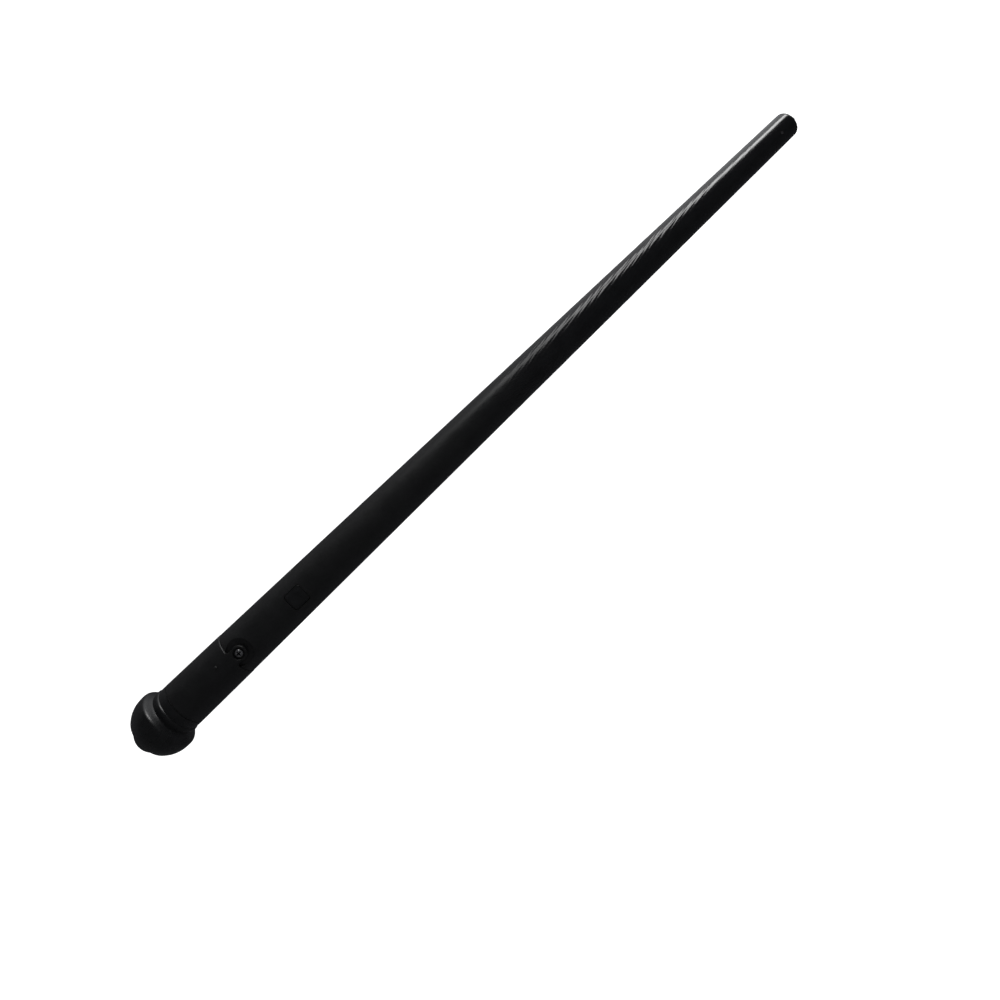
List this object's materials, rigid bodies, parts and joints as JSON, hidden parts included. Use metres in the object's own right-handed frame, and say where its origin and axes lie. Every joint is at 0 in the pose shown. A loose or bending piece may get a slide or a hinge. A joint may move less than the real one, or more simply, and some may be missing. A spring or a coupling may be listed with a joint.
{
  "type": "light-up toy wand",
  "caption": "Slim tapered black toy wand with a ball pommel, a screwed battery sleeve, a thumb button and a small round lamp at the tip.",
  "frame": {"origin": "on the wand's long axis, half-way between the pommel's end and the tip of the lamp", "axes": "+X along the wand from the pommel to the lamp; +Z out of the thumb button and the battery sleeve's screw; +Y completes a right-handed frame"},
  "size_m": [0.3508, 0.0258, 0.0258],
  "materials": {
    "black_shaft": "satin to gloss black moulding",
    "black_handle": "satin black moulding",
    "black_pommel": "semi-gloss black moulding",
    "black_button": "satin black moulding",
    "steel_screw": "blackened zinc",
    "inner_plastic": "matt",
    "contact_metal": "nickel plated",
    "cell_steel": "bright nickel",
    "board": "solder mask",
    "board_part": "glossy",
    "lamp_clear": "frosted clear",
    "lamp_holder_plastic": "gloss black",
    "sleeving": "matt",
    "wire_red": "satin",
    "wire_black": "satin"
  },
  "bodies": {
    "wand": {"shaft_tube": "black_shaft", "switch_body": "inner_plastic", "switch_cover": "cell_steel", "switch_pins": "contact_metal", "circuit_board": "board", "resistor": "board_part", "board_screws": "steel_screw", "board_cradle": "inner_plastic", "negative_contact": "contact_metal", "positive_contact": "contact_metal", "lamp": "lamp_clear", "lamp_leads": "contact_metal", "lamp_holder": "lamp_holder_plastic", "lead_sleeves": "sleeving", "lamp_wire_positive": "wire_red", "lamp_wire_negative": "wire_black"},
    "tail": {"handle_sleeve": "black_handle", "pommel": "black_pommel", "pommel_end_cap": "black_pommel", "battery_cartridge": "inner_plastic", "negative_strip": "contact_metal", "positive_strip": "contact_metal", "cell_spring": "contact_metal", "button_cell_1": "cell_steel", "button_cell_2": "cell_steel", "button_cell_3": "cell_steel"},
    "screw": {"sleeve_screw": "steel_screw"},
    "button": {"thumb_button": "black_button", "switch_plunger": "black_button"}
  },
  "joints": [
    {"name": "sleeve_slide", "type": "slide", "parent": "wand", "child": "tail", "axis": [-1, 0, 0], "range_m": [0, 0.05]},
    {"name": "screw_back_out", "type": "slide", "parent": "tail", "child": "screw", "axis": [0, 0, 1], "range_m": [0, 0.0016]},
    {"name": "button_press", "type": "slide", "parent": "wand", "child": "button", "axis": [0, 0, -1], "range_m": [0, 0.0005], "stiffness_N_per_m": 1200, "springref_m": -0.0002}
  ]
}
